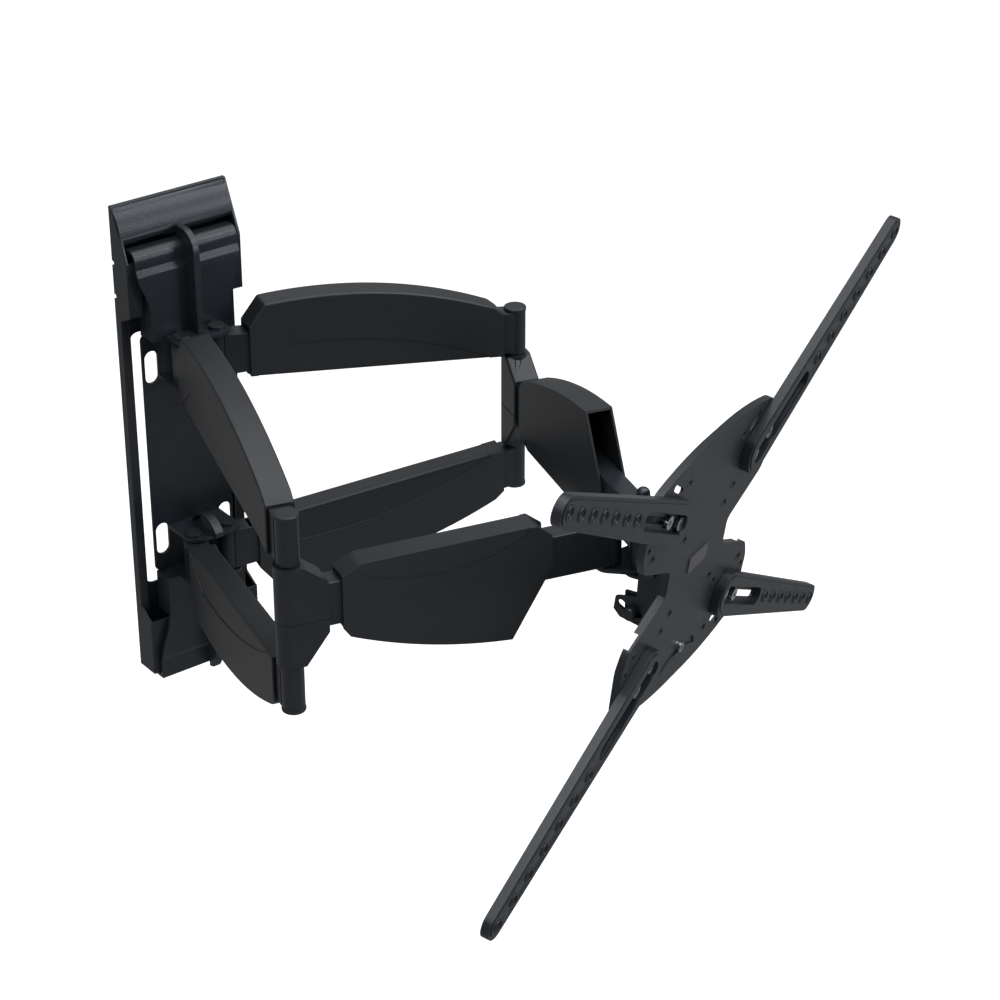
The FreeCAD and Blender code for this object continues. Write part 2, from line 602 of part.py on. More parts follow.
def swivel_pin():
    top = LUG_TOP + SHEET
    return fused([upright(PIN_R, 0, 0, -top, top), upright(8.0, 0, 0, top, top + 3.0),
                  upright(8.0, 0, 0, -top - 3.0, -top)])


EAR_X = HEAD_HALF + 2.0


def tilt_axle():
    y = -TILT_AHEAD
    end = EAR_X + SHEET + 1.0
    shaft = cyl(4.0, (-end, y, 0), (end + 8.0, y, 0))
    head = hexagon(13.0, (-end - 5.0, y, 0), (-end, y, 0))
    return fused([shaft, head])


def tilt_nut():
    y = -TILT_AHEAD
    end = EAR_X + SHEET + 1.0
    nut = hexagon(13.0, (end, y, 0), (end + 6.5, y, 0))
    return nut.cut(cyl(4.0, (0, y, 0), (100, y, 0)))


def clamp_bolt():
    y, z = -CLAMP_AHEAD, -CLAMP_DROP
    end = EAR_X + SHEET + 0.8
    shaft = cyl(3.0, (-end, y, z), (end, y, z))
    knobs = []
    for s in (-1, 1):
        knob = cyl(6.0, (s * end, y, z), (s * (end + 7.0), y, z))
        knobs.append(soften(knob, 2.0, lambda e: abs(abs(e.Vertexes[0].Point.x) - end - 7.0) < 0.01))
    return fused([shaft] + knobs)


def friction_washers():
    rings = []
    for s in (-1, 1):
        ring = cyl(9.0, (s * HEAD_HALF, -TILT_AHEAD, 0), (s * (EAR_X - 0.35), -TILT_AHEAD, 0))
        rings.append(ring.cut(cyl(4.1, (-60, -TILT_AHEAD, 0), (60, -TILT_AHEAD, 0))))
    return group(rings)


# ---- tilting television plate (drawn upright, facing -Y) ----------------
PLATE_BACK = -PLATE_AHEAD
PLATE_FRONT = PLATE_BACK - TV_T


def tilt_ears():
    """Channel with two ears, screwed to the back of the television plate."""
    web = box(-EAR_X - SHEET, EAR_X + SHEET, PLATE_BACK, PLATE_BACK + SHEET, -62, 40)
    outline = [(PLATE_BACK, 34), (PLATE_BACK + 12, 34), (-TILT_AHEAD + 9, 11), (-TILT_AHEAD + 11, 0),
               (-TILT_AHEAD + 8, -32.5), (-8.0, -37.2), (-3.0, -39.5), (-3.0, -52.0), (-10.0, -58.0),
               (PLATE_BACK + 12, -60), (PLATE_BACK, -60)]
    ears = [prism(outline, "yz", x, x + SHEET) for x in (-EAR_X - SHEET, EAR_X)]
    part = fused([web] + ears)
    part = part.cut(cyl(4.0 + PIN_FIT, (-60, -TILT_AHEAD, 0), (60, -TILT_AHEAD, 0)))
    # curved slots about the tilt axle for the clamp bolt
    reach = math.hypot(TILT_AHEAD - CLAMP_AHEAD, CLAMP_DROP)
    rest = math.degrees(math.atan2(-CLAMP_DROP, TILT_AHEAD - CLAMP_AHEAD))
    steps = 14
    for k in range(steps + 1):
        lean = -TILT_UP - 1 + (TILT_DOWN + TILT_UP + 2) * k / steps
        angle = math.radians(rest - lean)
        y = -TILT_AHEAD + reach * math.cos(angle)
        z = reach * math.sin(angle)
        part = part.cut(cyl(3.0 + CLEAR, (-60, y, z), (60, y, z)))
    return part


def rounded(points, radius):
    """Closed outline with each corner replaced by a short arc."""
    out = []
    count = len(points)
    for k, (x, z) in enumerate(points):
        legs = []
        for ox, oz in (points[k - 1], points[(k + 1) % count]):
            length = math.hypot(ox - x, oz - z)
            pull = min(radius, 0.45 * length) / length
            legs.append((x + (ox - x) * pull, z + (oz - z) * pull))
        (ax, az), (bx, bz) = legs
        middle = (0.25 * (ax + bx) + 0.5 * x, 0.25 * (az + bz) + 0.5 * z)
        out += [legs[0], middle, legs[1]]
    return out


def tv_outline(inset):
    """Quarter outline of the plate mirrored twice: bowed ends, spread ears, narrow waist."""
    half_w, half_h = TV_W / 2 - inset, TV_H / 2 - inset
    crown = arc_points((4.0, half_h), (56.0, half_h - 2.5), (half_w - 14, half_h - 12), 7)
    quarter = crown + [(half_w - 3, half_h - 24), (half_w, half_h - 68), (half_w - 8, half_h - 86),
                       (54.0 - inset, 13.0 + inset), (54.0 - inset, 3.0)]
    right = quarter + [(x, -z) for x, z in reversed(quarter)]
    return rounded(right + [(-x, z) for x, z in reversed(right)], 5.0)


def tv_plate():
    plate = prism(tv_outline(0.0), "xz", PLATE_FRONT, PLATE_BACK)
    rim = prism(tv_outline(0.0), "xz", PLATE_BACK, PLATE_BACK + TV_LIP)
    rim = rim.cut(prism(tv_outline(TV_T), "xz", PLATE_BACK - 1, PLATE_BACK + TV_LIP + 1))
    plate = fused([plate, rim])
    holes = []
    for x, z in VESA_HALF:
        for sx in (-1, 1):
            for sz in (-1, 1):
                holes.append(cyl(VESA_HOLE / 2, (sx * x, -100, sz * z), (sx * x, 0, sz * z)))
    for sx in (-1, 1):
        for sz in (-1, 1):
            slot = stadium(8.0, 3.0, -100, 0)
            slot.rotate(Vector(0, 0, 0), Vector(0, 1, 0), -sx * sz * 35)
            slot.translate(Vector(sx * 72.0, 0, sz * 104.0))
            holes.append(slot)
    for s in SCREW_AT:
        for sx in (-1, 1):
            for sz in (-1, 1):
                x, z = screw_place(sx, sz, s)
                holes.append(cyl(3.0, (x, -100, z), (x, 0, z)))
    bite = arc_points((-30.0, -99.0), (0.0, -88.0), (30.0, -99.0), 9)
    bite += arc_points((33.0, -107.0), (0.0, -99.0), (-33.0, -107.0), 9)
    plate = plate.cut(holes)
    pressed = prism(bite, "xz", PLATE_FRONT - 1, PLATE_FRONT + 1.2)
    return plate.cut(pressed)


def badge():
    plate = box(-17, 17, PLATE_FRONT - 1.0, PLATE_FRONT, -8, 8)
    return soften(plate, 1.5, deep_edge)


def level_screw():
    z = -93.5
    head = cyl(4.4, (0, PLATE_FRONT + 1.2, z), (0, PLATE_FRONT - 2.8, z))
    return head.cut(hexagon(4.0, (0, PLATE_FRONT - 3.0, z), (0, PLATE_FRONT - 0.8, z)))


# ---- extension arms -----------------------------------------------------
def ext_direction(sx, sz):
    angle = math.radians(EXT_ANGLE)
    return (-sx * math.cos(angle), -sz * math.sin(angle))


def screw_place(sx, sz, distance):
    dx, dz = ext_direction(sx, sz)
    return (sx * EXT_X + dx * distance, sz * EXT_Z + dz * distance)


def extension_arm():
    """Tapered channel along local X, tip hole at the origin, facing -Y."""
    tip, root = EXT_TIP_W / 2, EXT_ROOT_W / 2

    def outline(inset):
        t, r = tip - inset, root - inset
        nose = arc_points((0.0, t), (-t, 0.0), (0.0, -t), 13)
        end = EXT_LENGTH - inset
        tail = arc_points((end - 16, -r), (end, 0.0), (end - 16, r), 9)
        return nose + tail
    back = -EXT_DEPTH
    shell = prism(outline(0.0), "xz", back, 0)
    shell = shell.cut(prism(outline(EXT_T), "xz", back + EXT_T, 1))
    bead = prism(outline(3.2), "xz", back - 0.9, back)
    face = fused([shell, bead])
    cuts = [cyl(VESA_HOLE / 2, (k * EXT_PITCH, -40, 0), (k * EXT_PITCH, 10, 0)) for k in range(EXT_HOLES)]
    dimples = [Part.makeCone(5.2, VESA_HOLE / 2, 1.5, Vector(k * EXT_PITCH, back - 0.9, 0), Vector(0, 1, 0))
               for k in range(EXT_HOLES)]
    middle = (SLOT_START + SLOT_END) / 2
    half = (SLOT_END - SLOT_START) / 2
    # recessed pan round the slot, resting on the television plate
    pan = stadium(half - 8.0, 11.0, back + EXT_T - 0.1, 0)
    well = stadium(half - 8.0, 8.6, back - 5, -EXT_T)
    for piece in (pan, well):
        piece.translate(Vector(middle, 0, 0))
    slot = stadium(half - 4.5, 3.4, -40, 10)
    slot.translate(Vector(middle, 0, 0))
    return fused([face, pan]).cut(dimples + cuts + [well, slot])


def ext_placed(shape, sx, sz):
    """Turn an extension arm into its corner, as drawn upright in front of the plate."""
    out = shape.copy()
    dx, dz = ext_direction(sx, sz)
    out.rotate(Vector(0, 0, 0), Vector(0, 1, 0), -math.degrees(math.atan2(dz, dx)))
    out.translate(Vector(sx * EXT_X, PLATE_FRONT - CLEAR, sz * EXT_Z))
    return out


def ext_screws(sx, sz):
    screws = []
    pan_face = PLATE_FRONT - CLEAR - EXT_T
    for distance in SCREW_AT:
        x, z = screw_place(sx, sz, distance)
        shank = cyl(3.0, (x, PLATE_BACK + 6, z), (x, pan_face - CLEAR, z))
        head = cyl(6.0, (x, pan_face - CLEAR, z), (x, pan_face - CLEAR - 3.5, z))
        socket = hexagon(4.0, (x, pan_face - CLEAR - 3.6, z), (x, pan_face - CLEAR - 1.6, z))
        nut = hexagon(10.0, (x, PLATE_BACK, z), (x, PLATE_BACK + 4.5, z))
        screws.append(fused([shank, head, nut]).cut(socket))
    return screws


# ---- placing ------------------------------------------------------------
def on_arm(shape, side):
    x, y = WALL_PIVOT[side]
    return placed(shape, x, y, ARM_Z, heading(ARM_DIR[side]))


def on_forearm(shape, side):
    x, y = ELBOW[side]
    return placed(shape, x, y, HEAD_Z, heading(FOREARM_DIR[side]))


def on_yoke(shape):
    return placed(shape, SWIVEL[0], SWIVEL[1], HEAD_Z)


def on_head(shape):
    return placed(shape, SWIVEL[0], SWIVEL[1], HEAD_Z, SWIVEL_ANGLE)


def on_tilt(shape):
    out = shape.copy()
    out.translate(Vector(0, 0, PLATE_UP))
    return tipped(out)


def tipped(shape):
    """Lean about the tilt axle, then go with the head."""
    out = shape.copy()
    out.rotate(Vector(0, -TILT_AHEAD, 0), Vector(1, 0, 0), TILT_ANGLE)
    return on_head(out)


# ---- write every node ---------------------------------------------------
def main():
    save("wall_plate", wall_plate())
    save("carriage_back", carriage_back())
    save("carriage_top_box", carriage_box(1))
    save("carriage_lower_box", carriage_box(-1))
    save("carriage_fins", carriage_fin())
    save("upper_pivot_lug", pivot_lug(ARM_Z + LOW_LUG_Z))
    save("lower_pivot_lug", pivot_lug(ARM_Z - LOW_LUG_Z - SHEET))
    save("upper_wall_pins", wall_pins(1))
    save("lower_wall_pins", wall_pins(-1))
    save("securing_screws", securing_screws())
    save("cable_clip", cable_clip())
    tube, cover = rear_tube(), rear_cover()
    for side in ("left", "right"):
        save(side + "_upper_arm", on_arm(tube, side))
        save(side + "_lower_arm", on_arm(flipped(tube), side))
        save(side + "_upper_cover", on_arm(cover, side))
        save(side + "_lower_cover", on_arm(flipped(cover), side))
        save(side + "_wall_bushes", on_arm(rear_bushes(), side))
        save(side + "_elbow_pin", on_arm(elbow_pin(), side))
        save(side + "_elbow_caps", on_arm(elbow_caps(), side))
        save(side + "_elbow_housing_top", on_forearm(elbow_housing(True), side))
        save(side + "_elbow_housing_base", on_forearm(elbow_housing(False), side))
        save(side + "_elbow_bushes", placed(elbow_bushes(), *ELBOW[side], ARM_Z))
        save(side + "_forearm", on_forearm(forearm_tube(), side))
        shell = forearm_cover()
        save(side + "_forearm_cover", on_forearm(shell if side == "left" else flipped(shell), side))
        fit = PIN_FIT if side == "left" else OPEN_FIT
        save(side + "_head_bush", on_forearm(head_bush(fit), side))
    save("yoke_top_plate", on_yoke(yoke_plate(1)))
    save("yoke_base_plate", on_yoke(yoke_plate(-1)))
    save("yoke_barrel", on_yoke(yoke_barrel()))
    save("head_pivot_pins", on_yoke(group([head_pivot_pin(-1), head_pivot_pin(1)])))
    save("dome_caps", on_yoke(dome_caps()))
    save("swivel_bracket", on_head(swivel_bracket()))
    save("swivel_pin", on_head(swivel_pin()))
    save("tilt_axle", on_head(tilt_axle()))
    save("tilt_nut", on_head(tilt_nut()))
    save("clamp_bolt", on_head(clamp_bolt()))
    save("friction_washers", on_head(friction_washers()))
    save("tilt_ears", tipped(tilt_ears()))
    save("tv_plate", on_tilt(tv_plate()))
    save("badge", on_tilt(badge()))
    save("level_screw", on_tilt(level_screw()))
    corners = {"upper_left": (-1, 1), "upper_right": (1, 1), "lower_left": (-1, -1), "lower_right": (1, -1)}
    for name, (sx, sz) in corners.items():
        save(name + "_extension", on_tilt(ext_placed(extension_arm(), sx, sz)))
    screws = [s for sx, sz in corners.values() for s in ext_screws(sx, sz)]
    save("extension_screws", on_tilt(group(screws)))


main()
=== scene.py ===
# %% [markdown]
# # A folding television mount, finished in Blender
# The design holds the real sizes and every moving piece. This lesson loads it, rounds
# the pressed and moulded edges, adds the pressed rims round the holes, and paints
# everything. Nothing from the design is moved or resized.

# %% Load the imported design
import bpy
import bmesh
import json
import math
from mathutils import Matrix, Vector


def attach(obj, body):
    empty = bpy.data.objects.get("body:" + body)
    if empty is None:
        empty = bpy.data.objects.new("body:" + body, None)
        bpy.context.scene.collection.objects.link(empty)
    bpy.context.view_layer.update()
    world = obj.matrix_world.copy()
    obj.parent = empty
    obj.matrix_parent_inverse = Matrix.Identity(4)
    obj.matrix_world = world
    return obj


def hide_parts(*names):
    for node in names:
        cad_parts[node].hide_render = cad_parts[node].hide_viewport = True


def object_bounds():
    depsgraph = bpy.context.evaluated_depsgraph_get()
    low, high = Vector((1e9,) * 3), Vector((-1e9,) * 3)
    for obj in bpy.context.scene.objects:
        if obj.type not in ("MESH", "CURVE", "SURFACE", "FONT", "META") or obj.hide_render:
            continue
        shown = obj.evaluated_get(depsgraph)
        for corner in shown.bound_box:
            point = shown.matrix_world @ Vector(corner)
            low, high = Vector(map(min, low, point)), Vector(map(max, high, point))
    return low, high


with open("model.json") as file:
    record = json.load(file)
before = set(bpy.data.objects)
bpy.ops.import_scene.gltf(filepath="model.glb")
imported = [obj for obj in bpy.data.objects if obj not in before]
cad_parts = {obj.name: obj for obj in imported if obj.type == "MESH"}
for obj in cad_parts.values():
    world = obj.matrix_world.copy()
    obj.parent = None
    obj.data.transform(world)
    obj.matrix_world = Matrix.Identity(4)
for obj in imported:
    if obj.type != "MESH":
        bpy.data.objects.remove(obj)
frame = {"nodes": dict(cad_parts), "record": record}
cad_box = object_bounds()
RECORD = frame["record"]
MOTION = RECORD["behaviour"]
BODY_OF = {node: body for body, nodes in MOTION["bodies"].items() for node in nodes}
SLOT_OF = {part["node"]: part["material_slot"] for part in RECORD["subparts"]}
JOINT = {joint["name"]: joint for joint in MOTION["joints"]}

# %% [markdown]
# ## Finishes
# The steel is powder coated: a near-black paint with a cool cast and a very fine pebble
# that breaks reflections up. The covers are satin moulded plastic, a touch smoother.
# Pins and nuts are blackened steel, and a few screws are bright zinc. Each grain is
# Noise on Object coordinates, so the pattern stays put when a piece moves. A lower
# specular level than plain plastic keeps the black deep under a bright room.


# %% A helper that builds one grained finish
CLOUD_PER_M = 38.0
CLOUD_DETAIL, GRAIN_DETAIL = 4.0, 2.0
ROUGHNESS_SPREAD = 0.05
DENT_DEPTH = 0.0004
MIX_A, MIX_B, MIX_COLOUR = 6, 7, 2


def grained(name, colour, roughness, grain_per_m, bump, metallic=0.0, mottle=0.12, shine=0.5):
    material = bpy.data.materials.new(name)
    material.use_nodes = True
    nodes, links = material.node_tree.nodes, material.node_tree.links
    shader = nodes["Principled BSDF"]
    shader.inputs["Metallic"].default_value = metallic
    shader.inputs["Specular IOR Level"].default_value = shine
    place = nodes.new("ShaderNodeTexCoord")
    cloud = nodes.new("ShaderNodeTexNoise")
    cloud.inputs["Scale"].default_value = CLOUD_PER_M
    cloud.inputs["Detail"].default_value = CLOUD_DETAIL
    links.new(place.outputs["Object"], cloud.inputs["Vector"])
    tint = nodes.new("ShaderNodeMix")
    tint.data_type = "RGBA"
    dark, pale = [[c * (1 + side * mottle) for c in colour] + [1] for side in (-1, 1)]
    tint.inputs[MIX_A].default_value = dark
    tint.inputs[MIX_B].default_value = pale
    links.new(cloud.outputs["Fac"], tint.inputs[0])
    links.new(tint.outputs[MIX_COLOUR], shader.inputs["Base Color"])
    grain = nodes.new("ShaderNodeTexNoise")
    grain.inputs["Scale"].default_value = grain_per_m
    grain.inputs["Detail"].default_value = GRAIN_DETAIL
    links.new(place.outputs["Object"], grain.inputs["Vector"])
    rough = nodes.new("ShaderNodeMapRange")
    rough.inputs["To Min"].default_value = roughness - ROUGHNESS_SPREAD
    rough.inputs["To Max"].default_value = roughness + ROUGHNESS_SPREAD
    links.new(grain.outputs["Fac"], rough.inputs["Value"])
    links.new(rough.outputs["Result"], shader.inputs["Roughness"])
    dent = nodes.new("ShaderNodeBump")
    dent.inputs["Strength"].default_value = bump
    dent.inputs["Distance"].default_value = DENT_DEPTH
    links.new(grain.outputs["Fac"], dent.inputs["Height"])
    links.new(dent.outputs["Normal"], shader.inputs["Normal"])
    return material


# %% Mix the finishes
FINISH = {
    "black_steel": grained("powder_coat", (0.0095, 0.012, 0.0155), 0.34, 850.0, 0.5, shine=0.38),
    "black_plastic": grained("satin_plastic", (0.0115, 0.0130, 0.0150), 0.42, 1300.0, 0.25,
                             mottle=0.06, shine=0.36),
    "nylon": grained("black_nylon", (0.010, 0.010, 0.012), 0.5, 1800.0, 0.08,
                     mottle=0.05, shine=0.3),
    "dark_steel": grained("blackened_steel", (0.045, 0.05, 0.058), 0.33, 1200.0, 0.06,
                          metallic=0.8),
    "zinc_screws": grained("bright_zinc", (0.55, 0.56, 0.58), 0.27, 900.0, 0.05, metallic=1.0),
    "badge_metal": grained("brushed_badge", (0.075, 0.075, 0.08), 0.40, 1400.0, 0.05,
                           metallic=0.5),
}
for node, obj in frame["nodes"].items():
    for material_slot in obj.material_slots:
        material_slot.material = FINISH[SLOT_OF[node]]
print("finishes:", ", ".join(sorted(m.name for m in FINISH.values())))

# %% [markdown]
# ## Pressed and moulded edges
# A bent sheet or a moulding has a small radius on every edge, and that radius is what
# catches the light. A copy of each design piece is merged and its flat triangles are
# joined. Each sharp edge then gets a bevel weight: wide faces can carry the full radius,
# and thin sheet edges only a part of it, so no two bevels meet. Hardened normals keep
# the flats flat. A large face full of holes can fold over when its edges are rounded, so
# each result is measured, and a folded one is made again in a gentler way.


# %% Helpers that turn work into a finished piece
WELD_WITHIN = 2e-6
FLAT_WITHIN = math.radians(0.6)
FACE_SHARE = 0.30
LEAST_BEVEL = 0.00012
BEVEL_STEPS = 3
SAME_WAY = 0.9
FOLD_LIMIT = 0.001
NO_LENGTH = 1e-9


def new_object(name, mesh):
    obj = bpy.data.objects.new(name, mesh)
    bpy.context.scene.collection.objects.link(obj)
    return obj


def baked(obj):
    """The evaluated mesh of an object, with its modifiers taken off."""
    graph = bpy.context.evaluated_depsgraph_get()
    mesh = bpy.data.meshes.new_from_object(obj.evaluated_get(graph))
    obj.modifiers.clear()
    return mesh


def finish_piece(obj, body, slot_name, replaced=()):
    obj.data.materials.clear()
    obj.data.materials.append(FINISH[slot_name])
    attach(obj, body)
    if replaced:
        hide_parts(*replaced)
    return obj


def face_width(face):
    """Twice the area over the outline: about the width of a narrow face."""
    return 2 * face.calc_area() / max(face.calc_perimeter(), NO_LENGTH)


def weigh_edges(work, radius, crease):
    weights = work.edges.layers.float.new("bevel_weight_edge")
    widths = {face: face_width(face) for face in work.faces}
    for edge in work.edges:
        if len(edge.link_faces) == 2 and edge.calc_face_angle() > crease:
            room = FACE_SHARE * min(widths[face] for face in edge.link_faces)
            edge[weights] = min(1.0, max(room, LEAST_BEVEL) / radius)


def folded_share(mesh):
    """The part of a mesh whose triangles lie against the face they belong to."""
    mesh.calc_loop_triangles()
    total = sum(face.area for face in mesh.polygons)
    against = sum(t.area for t in mesh.loop_triangles
                  if t.normal.dot(mesh.polygons[t.polygon_index].normal) < SAME_WAY)
    return against / total


def softened(obj, node, radius, crease, joined, clamped):
    mesh = frame["nodes"][node].data.copy()
    work = bmesh.new()
    work.from_mesh(mesh)
    bmesh.ops.remove_doubles(work, verts=work.verts, dist=WELD_WITHIN)
    if joined:
        bmesh.ops.dissolve_limit(work, angle_limit=FLAT_WITHIN, verts=work.verts, edges=work.edges)
    weigh_edges(work, radius, crease)
    work.to_mesh(mesh)
    work.free()
    mesh.shade_smooth()
    mesh.set_sharp_from_angle(angle=crease)
    obj.data = mesh
    bevel = obj.modifiers.new("edge radius", "BEVEL")
    bevel.width = radius
    bevel.segments = BEVEL_STEPS
    bevel.limit_method = "WEIGHT"
    bevel.use_clamp_overlap = clamped
    bevel.harden_normals = True
    return baked(obj)


def rounded_copy(node, radius, clamped, crease):
    """The first way of rounding that folds nothing over, or None to keep the design mesh."""
    obj = new_object(node + "_soft", frame["nodes"][node].data)
    for joined, clamp in ((True, clamped), (True, True), (False, clamped), (False, True)):
        mesh = softened(obj, node, radius, crease, joined, clamp)
        if folded_share(mesh) < FOLD_LIMIT:
            obj.data = mesh
            return finish_piece(obj, BODY_OF[node], SLOT_OF[node], [node])
    bpy.data.objects.remove(obj)
    return None


# %% Round the edges of the steelwork
RADIUS = {"wall_plate": 0.0007, "carriage": 0.0007, "pivot_lug": 0.0005, "extension": 0.0008,
          "swivel": 0.0006, "tilt": 0.0005, "tv_plate": 0.0007, "yoke": 0.0006, "cable": 0.0005,
          "_arm": 0.0012, "_forearm": 0.0014, "housing": 0.0030, "caps": 0.0005, "pin": 0.0005,
          "clamp": 0.0005, "cover": 0.0024}
SKIP = ("bush", "washers", "screw", "carriage_back")
CROWDED = ("box", "lug", "pins", "yoke", "swivel")
CREASE, BOX_CREASE = math.radians(32), math.radians(24)
tried = []
for node in sorted(frame["nodes"]):
    sizes = [size for word, size in RADIUS.items() if word in node]
    if sizes and not any(word in node for word in SKIP):
        crease = BOX_CREASE if "box" in node else CREASE
        clamped = any(word in node for word in CROWDED)
        tried.append(rounded_copy(node, sizes[-1], clamped, crease))
rounded = [piece for piece in tried if piece]
face_count = sum(len(piece.data.polygons) for piece in rounded)
print("rounded", len(rounded), "of", len(tried), "pieces,", face_count, "faces")

# %% [markdown]
# ## Pressed rims round the holes
# The pattern holes of the television plate and the screw holes of the four long arms have
# a small raised rim from the press. They all follow one rule, so a Geometry Nodes group
# builds them: a ring is swept from two circles and set at each point, then the copies are
# made real. The long arms take their points from a line of seven holes, 25 mm apart.


# %% A node group that presses rims
RING_STEPS, WIRE_STEPS = 28, 10
DEFAULTS = (("Rim radius", 0.0045), ("Wire radius", 0.0007), ("Pitch", 0.025))
HOLES_IN_LINE = 7


def socket_id(tree, name):
    return next(i.identifier for i in tree.interface.items_tree if i.name == name)


def rim_tree(name, in_line):
    tree = bpy.data.node_groups.new(name, "GeometryNodeTree")
    face = tree.interface
    face.new_socket("Geometry", in_out="INPUT", socket_type="NodeSocketGeometry")
    for label, value in DEFAULTS:
        socket = face.new_socket(label, in_out="INPUT", socket_type="NodeSocketFloat")
        socket.default_value = value
    count = face.new_socket("Count", in_out="INPUT", socket_type="NodeSocketInt")
    count.default_value = HOLES_IN_LINE
    face.new_socket("Finish", in_out="INPUT", socket_type="NodeSocketMaterial")
    face.new_socket("Geometry", in_out="OUTPUT", socket_type="NodeSocketGeometry")
    nodes, links = tree.nodes, tree.links
    given, result = nodes.new("NodeGroupInput"), nodes.new("NodeGroupOutput")
    ring = nodes.new("GeometryNodeCurvePrimitiveCircle")
    wire = nodes.new("GeometryNodeCurvePrimitiveCircle")
    ring.inputs["Resolution"].default_value = RING_STEPS
    wire.inputs["Resolution"].default_value = WIRE_STEPS
    links.new(given.outputs["Rim radius"], ring.inputs["Radius"])
    links.new(given.outputs["Wire radius"], wire.inputs["Radius"])
    sweep = nodes.new("GeometryNodeCurveToMesh")
    links.new(ring.outputs["Curve"], sweep.inputs["Curve"])
    links.new(wire.outputs["Curve"], sweep.inputs["Profile Curve"])
    copies = nodes.new("GeometryNodeInstanceOnPoints")
    if in_line:
        line, step = nodes.new("GeometryNodeMeshLine"), nodes.new("ShaderNodeCombineXYZ")
        links.new(given.outputs["Pitch"], step.inputs["X"])
        links.new(given.outputs["Count"], line.inputs["Count"])
        links.new(step.outputs["Vector"], line.inputs["Offset"])
        links.new(line.outputs["Mesh"], copies.inputs["Points"])
    else:
        links.new(given.outputs["Geometry"], copies.inputs["Points"])
    links.new(sweep.outputs["Mesh"], copies.inputs["Instance"])
    real = nodes.new("GeometryNodeRealizeInstances")
    smooth = nodes.new("GeometryNodeSetShadeSmooth")
    paint = nodes.new("GeometryNodeSetMaterial")
    links.new(copies.outputs["Instances"], real.inputs["Geometry"])
    links.new(real.outputs["Geometry"], smooth.inputs["Geometry"])
    links.new(smooth.outputs["Geometry"], paint.inputs["Geometry"])
    links.new(given.outputs["Finish"], paint.inputs["Material"])
    links.new(paint.outputs["Geometry"], result.inputs["Geometry"])
    return tree


def outward(mesh):
    work = bmesh.new()
    work.from_mesh(mesh)
    bmesh.ops.recalc_face_normals(work, faces=work.faces)
    work.to_mesh(mesh)
    work.free()


def pressed(name, body, tree, points, place, rim, wire):
    seed = bpy.data.meshes.new(name)
    seed.from_pydata(points, [], [])
    obj = new_object(name, seed)
    modifier = obj.modifiers.new("rims", "NODES")
    modifier.node_group = tree
    modifier[socket_id(tree, "Rim radius")] = rim
    modifier[socket_id(tree, "Wire radius")] = wire
    modifier[socket_id(tree, "Finish")] = FINISH["black_steel"]
    obj.data = baked(obj)
    obj.data.transform(place)
    outward(obj.data)
    return finish_piece(obj, body, "black_steel")


# %% Where the tilted plate stands
HEAD = Vector(JOINT["head_swivel"]["pos_m"])
TURN, LEAN = math.radians(22.5), math.radians(8.7)
AXLE = Matrix.Translation((0, -0.030, 0))
RISE = Matrix.Translation((0, 0, 0.004))
TILT = (Matrix.Translation(HEAD) @ Matrix.Rotation(TURN, 4, "Z") @ AXLE
        @ Matrix.Rotation(LEAN, 4, "X") @ AXLE.inverted() @ RISE)
FACING = Matrix.Rotation(math.radians(90), 4, "X")
PLATE_FRONT = -0.0545
ARM_GAP = 0.00035
ARM_DEPTH = 0.0089
ARM_FACE = PLATE_FRONT - ARM_GAP - ARM_DEPTH
plate_centre = TILT @ Vector((0, PLATE_FRONT, 0))
print("television plate centre", tuple(round(c, 4) for c in plate_centre))

# %% Rims on the television plate, sunk so that the long arms slide over them
SUNK = 0.0006
PLATE_RIM, PLATE_WIRE = 0.0044, 0.0009
MM_PER_M = 1000
HOLES_MM = ((50, 50), (37.5, 37.5), (100, 50), (50, 100))
plate_points = [(sx * x / MM_PER_M, sz * z / MM_PER_M, 0)
                for x, z in HOLES_MM for sx in (-1, 1) for sz in (-1, 1)]
plate_face = TILT @ Matrix.Translation((0, PLATE_FRONT + SUNK, 0)) @ FACING
pressed("plate_rims", "tv_bracket", rim_tree("rims at points", False), plate_points,
        plate_face, PLATE_RIM, PLATE_WIRE)
print("rims on the plate:", len(plate_points))

# %% Rims on the long arms, counted inward from the outermost hole
ARM_TILT = math.radians(29.0)
OUTER_X, OUTER_Z = 0.300, 0.200
ARM_RIM, ARM_WIRE = 0.0056, 0.0008
line_tree = rim_tree("rims in a line", True)
for side, sx in (("left", -1), ("right", 1)):
    for level, sz in (("upper", 1), ("lower", -1)):
        inward = math.atan2(-sz * math.sin(ARM_TILT), -sx * math.cos(ARM_TILT))
        place = (TILT @ Matrix.Translation((sx * OUTER_X, ARM_FACE, sz * OUTER_Z)) @ FACING
                 @ Matrix.Rotation(inward, 4, "Z"))
        pressed(level + "_" + side + "_rims", level + "_" + side + "_extension_arm", line_tree,
                [(0, 0, 0)], place, ARM_RIM, ARM_WIRE)
print("rims on four arms")

# %% [markdown]
# ## Stage, light and camera
# Black metal shows its shape only through what it reflects, so large soft lights stand
# where the edges can mirror them: two right, one overhead, one high left, one behind.
# A wide soft sun keeps the pale floor white. Polished faces do not mirror the floor, the
# way a photographer hangs black card out of view to keep dark metal dark.

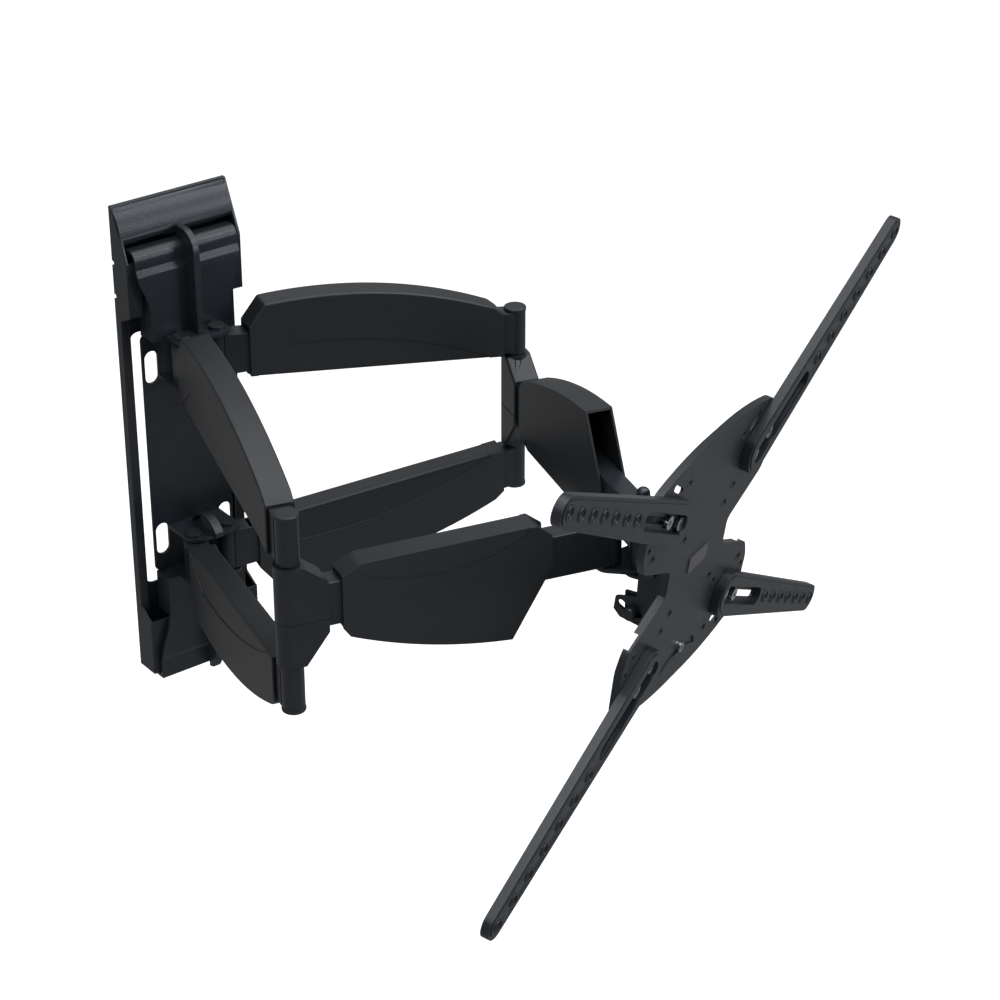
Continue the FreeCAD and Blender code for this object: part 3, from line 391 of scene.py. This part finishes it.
# %% Floor and lights
low, high = cad_box
middle = (low + high) / 2
FLOOR_DROP = 0.55
FLOOR_Z = low.z - FLOOR_DROP
REACH = 14.0
FLOOR_TONE = 0.95
LAMP_AWAY, SUN_AWAY = 2.4, 3.0
corners = [(-REACH, -REACH), (REACH, -REACH), (REACH, REACH), (-REACH, REACH)]
floor_mesh = bpy.data.meshes.new("floor")
floor_mesh.from_pydata([(x, y, FLOOR_Z) for x, y in corners], [], [(0, 1, 2, 3)])
floor = new_object("floor", floor_mesh)
floor_paint = bpy.data.materials.new("pale_floor")
floor_paint.use_nodes = True
floor_shader = floor_paint.node_tree.nodes["Principled BSDF"]
floor_shader.inputs["Base Color"].default_value = (FLOOR_TONE, FLOOR_TONE, FLOOR_TONE, 1)
floor_shader.inputs["Roughness"].default_value = 0.9
floor_shader.inputs["Specular IOR Level"].default_value = 0.0
floor.data.materials.append(floor_paint)
floor.visible_glossy = False


def aimed(light, direction, distance):
    lamp = bpy.data.objects.new(light.name, light)
    bpy.context.scene.collection.objects.link(lamp)
    aim = Vector(direction).normalized()
    lamp.location = middle + aim * distance
    lamp.rotation_euler = aim.to_track_quat("Z", "Y").to_euler()


def softbox(name, direction, size, watts, colour):
    light = bpy.data.lights.new(name, "AREA")
    light.shape = "RECTANGLE"
    light.size, light.size_y = size
    light.energy = watts
    light.color = colour
    aimed(light, direction, LAMP_AWAY)


COOL, COLD, SKY, PALE = (0.88, 0.94, 1.0), (0.86, 0.93, 1.0), (0.80, 0.90, 1.0), (0.92, 0.96, 1.0)
softbox("key_high_right", (0.55, -0.45, 0.68), (1.2, 0.5), 22, COLD)
softbox("overhead", (-0.15, 0.18, 0.98), (0.5, 0.5), 5, SKY)
softbox("front_right", (0.55, -0.80, 0.26), (0.6, 0.3), 18, COOL)
softbox("rim_left", (-0.66, -0.22, 0.74), (0.5, 1.3), 9, COLD)
softbox("back_right", (0.45, 0.75, 0.48), (1.4, 0.4), 1.5, PALE)
sun = bpy.data.lights.new("wide_sun", "SUN")
sun.energy = 2.7
sun.angle = math.radians(75)
aimed(sun, (0.2, -0.15, 1.0), SUN_AWAY)
world = bpy.data.worlds.new("soft_room")
world.use_nodes = True
room = world.node_tree.nodes["Background"]
room.inputs["Color"].default_value = (1, 1, 1, 1)
room.inputs["Strength"].default_value = 0.27
bpy.context.scene.world = world
print("five softboxes, a wide sun and a pale floor at", round(FLOOR_Z, 3))

# %% Camera
CAMERA_AT = Vector((-1.1524, -1.9922, 1.1624))
CAMERA_AZIMUTH = math.radians(-37.4)
CAMERA_PITCH = math.radians(28.5)
LENS_PER_WIDTH = 2.779
SENSOR_MM = 36.0
back = Vector((math.sin(CAMERA_AZIMUTH) * math.cos(CAMERA_PITCH),
               -math.cos(CAMERA_AZIMUTH) * math.cos(CAMERA_PITCH), math.sin(CAMERA_PITCH)))
camera_data = bpy.data.cameras.new("camera")
camera_data.sensor_width = SENSOR_MM
camera_data.lens = LENS_PER_WIDTH * camera_data.sensor_width
camera = new_object("camera", camera_data)
camera.location = CAMERA_AT
camera.rotation_euler = back.to_track_quat("Z", "Y").to_euler()
bpy.context.scene.camera = camera
bpy.context.scene.view_settings.view_transform = "Standard"
print("camera", tuple(round(v, 3) for v in camera.location))
